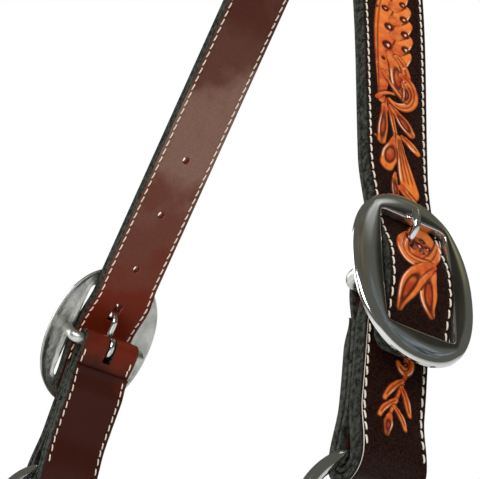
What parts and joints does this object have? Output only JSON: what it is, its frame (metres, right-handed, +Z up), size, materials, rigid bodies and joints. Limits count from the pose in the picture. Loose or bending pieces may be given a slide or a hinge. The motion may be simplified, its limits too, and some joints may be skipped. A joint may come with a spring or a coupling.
{
  "type": "western horse halter",
  "caption": "Doubled and stitched leather horse halter with tooled outer plies, cart buckles on both sides of the crown, and steel rings joining its straps.",
  "frame": {"origin": "middle of the crown's flat underside, where the crown rests on the poll", "axes": "+Z up as the halter hangs, -Y towards the horse's nose, +X towards the horse's left (near) side"},
  "size_m": [0.2558, 0.2438, 0.5239],
  "materials": {
    "tooled_leather": "carved, tan motifs on a dark ground, waxed",
    "lining_leather": "smooth grain, waxed, red-brown",
    "dark_leather": "smooth grain, waxed, dark brown",
    "polished_steel": "polished face, cast back"
  },
  "bodies": {
    "crown": {"crown_outer": "tooled_leather", "crown_lining": "lining_leather", "buckle_frame_near": "polished_steel", "buckle_frame_off": "polished_steel", "tab_outer_near": "tooled_leather", "tab_outer_off": "tooled_leather", "tab_lining_near": "lining_leather", "tab_lining_off": "lining_leather"},
    "tongue_near": {"buckle_tongue_near": "polished_steel"},
    "tongue_off": {"buckle_tongue_off": "polished_steel"},
    "upper_ring_near": {"upper_ring_near": "polished_steel"},
    "upper_ring_off": {"upper_ring_off": "polished_steel"},
    "cheeks": {"cheek_outer_near": "tooled_leather", "cheek_outer_off": "tooled_leather", "cheek_lining_near": "lining_leather", "cheek_lining_off": "lining_leather"},
    "lower_ring_near": {"lower_ring_near": "polished_steel"},
    "lower_ring_off": {"lower_ring_off": "polished_steel"},
    "noseband": {"noseband_outer": "tooled_leather", "noseband_lining": "lining_leather"},
    "throat": {"throat_strap": "dark_leather"},
    "chin": {"chin_strap_near": "dark_leather", "chin_strap_off": "dark_leather"},
    "chin_ring": {"chin_ring": "polished_steel"},
    "jaw": {"jaw_strap": "dark_leather"}
  },
  "joints": [
    {"name": "tongue_near_hinge", "type": "hinge", "parent": "crown", "child": "tongue_near", "pos_m": [0.10256, -0.04548, -0.16288], "axis": [0, 0.9632, -0.2689], "range_deg": [0, 10]},
    {"name": "tongue_off_hinge", "type": "hinge", "parent": "crown", "child": "tongue_off", "pos_m": [-0.10256, -0.04548, -0.16288], "axis": [0, -0.9632, 0.2689], "range_deg": [0, 10]},
    {"name": "upper_ring_near_turn", "type": "hinge", "parent": "crown", "child": "upper_ring_near", "pos_m": [0.11586, -0.06644, -0.23798], "axis": [1, 0, 0], "continuous": true},
    {"name": "upper_ring_off_turn", "type": "hinge", "parent": "crown", "child": "upper_ring_off", "pos_m": [-0.11586, -0.06644, -0.23798], "axis": [1, 0, 0], "continuous": true},
    {"name": "cheek_swing", "type": "hinge", "parent": "crown", "child": "cheeks", "pos_m": [0, -0.06644, -0.23798], "axis": [1, 0, 0], "range_deg": [-10, 10]},
    {"name": "lower_ring_near_turn", "type": "hinge", "parent": "cheeks", "child": "lower_ring_near", "pos_m": [0.084, -0.09186, -0.43635], "axis": [1, 0, 0], "continuous": true},
    {"name": "lower_ring_off_turn", "type": "hinge", "parent": "cheeks", "child": "lower_ring_off", "pos_m": [-0.084, -0.09186, -0.43635], "axis": [1, 0, 0], "continuous": true},
    {"name": "noseband_lift", "type": "hinge", "parent": "cheeks", "child": "noseband", "pos_m": [0, -0.09186, -0.43635], "axis": [-1, 0, 0], "range_deg": [0, 10]},
    {"name": "throat_lift", "type": "hinge", "parent": "cheeks", "child": "throat", "pos_m": [0, -0.06644, -0.23798], "axis": [1, 0, 0], "range_deg": [0, 10]},
    {"name": "chin_lift", "type": "hinge", "parent": "cheeks", "child": "chin", "pos_m": [0, -0.09186, -0.43635], "axis": [1, 0, 0], "range_deg": [0, 10]},
    {"name": "chin_ring_turn", "type": "hinge", "parent": "chin", "child": "chin_ring", "pos_m": [0, -0.01158, -0.49256], "axis": [0, 0.8192, -0.5736], "continuous": true},
    {"name": "jaw_strap_turn", "type": "hinge", "parent": "chin", "child": "jaw", "pos_m": [0, 0.00253, -0.47241], "axis": [1, 0, 0], "range_deg": [-10, 0]}
  ],
  "couplings": [
    {"joint": "chin_lift", "follows": "throat_lift", "ratio": 1},
    {"joint": "jaw_strap_turn", "follows": "throat_lift", "ratio": -1}
  ]
}
